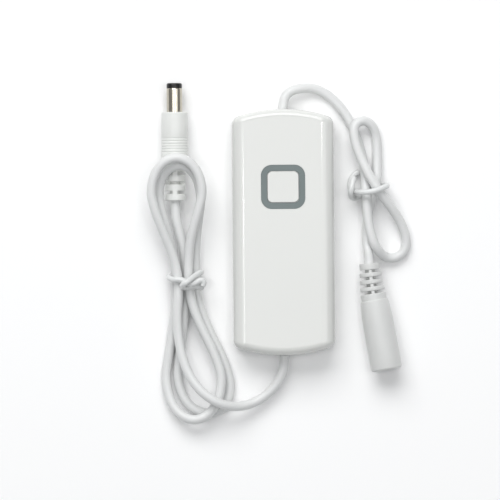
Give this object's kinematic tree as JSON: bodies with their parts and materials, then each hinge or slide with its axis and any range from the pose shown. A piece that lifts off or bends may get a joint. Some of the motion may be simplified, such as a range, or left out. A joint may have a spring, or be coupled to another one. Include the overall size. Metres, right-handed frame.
{
  "type": "led strip remote receiver",
  "caption": "Small in-line receiver for an LED light strip: a flat white case with a square push button, a barrel plug on a tied input cord and a barrel socket on an output cord.",
  "frame": {"origin": "under the middle of the case, on its flat back", "axes": "+X to the right seen from the front, +Y along the case towards the output cord, +Z out of the front, the way the button faces"},
  "size_m": [0.0926, 0.1195, 0.0155],
  "materials": {
    "case_plastic": "glossy white moulded ABS",
    "frame_plastic": "satin grey moulded ABS",
    "button_plastic": "glossy white moulded ABS",
    "cord_jacket": "satin white PVC",
    "plug_moulding": "satin white PVC",
    "plug_tip_plastic": "glossy black",
    "socket_insert_plastic": "matte black",
    "nickel_plate": "nickel plated",
    "board_laminate": "green solder mask",
    "chip_epoxy": "matte black",
    "switch_plastic": "matte black",
    "shield_metal": "tinned",
    "spring_steel": "bright",
    "solder": "bright",
    "capacitor_can": "satin",
    "ferrite": "matte",
    "fuse_polymer": "matte green",
    "chip_ceramic": "matte tan",
    "resistor_ceramic": "matte black",
    "light_lens": "clear resin",
    "tie_coating": "satin white PVC",
    "core_red": "satin",
    "core_black": "satin"
  },
  "bodies": {
    "case": {"bottom_cover": "case_plastic", "top_cover": "case_plastic", "button_frame": "frame_plastic", "circuit_board": "board_laminate", "switch_base": "switch_plastic", "switch_cover_plate": "shield_metal", "switch_dome": "spring_steel", "switch_legs": "spring_steel", "wireless_module": "board_laminate", "module_shield": "shield_metal", "radio_chip": "chip_epoxy", "capacitor_base": "chip_epoxy", "filter_capacitor": "capacitor_can", "power_inductor": "ferrite", "resettable_fuse": "fuse_polymer", "driver_chip": "chip_epoxy", "driver_chip_legs": "spring_steel", "power_transistors": "chip_epoxy", "transistor_tabs": "spring_steel", "voltage_regulator": "chip_epoxy", "chip_capacitors": "chip_ceramic", "chip_resistors": "resistor_ceramic", "status_light": "light_lens", "plug_body": "plug_moulding", "plug_sleeve": "nickel_plate", "plug_insulator": "plug_tip_plastic", "plug_contact": "nickel_plate", "socket_body": "plug_moulding", "socket_insert": "socket_insert_plastic", "socket_spring": "nickel_plate", "socket_pin": "nickel_plate", "input_cord_hank": "cord_jacket", "input_cord_lead": "cord_jacket", "input_cord_tail": "cord_jacket", "output_cord_loop": "cord_jacket", "output_cord_lead": "cord_jacket", "output_cord_tail": "cord_jacket", "input_cord_collar": "plug_moulding", "output_cord_collar": "plug_moulding", "input_positive_core": "core_red", "input_negative_core": "core_black", "output_positive_core": "core_red", "output_negative_core": "core_black", "solder_joints": "solder", "input_twist_tie": "tie_coating", "output_twist_tie": "tie_coating"},
    "button": {"button_cap": "button_plastic", "switch_plunger": "switch_plastic"}
  },
  "joints": [
    {"name": "button_press", "type": "slide", "parent": "case", "child": "button", "axis": [0, 0, -1], "range_m": [0, 0.00035], "stiffness_N_per_m": 4000, "springref_m": -0.0001, "deforming": ["switch_dome"]}
  ]
}
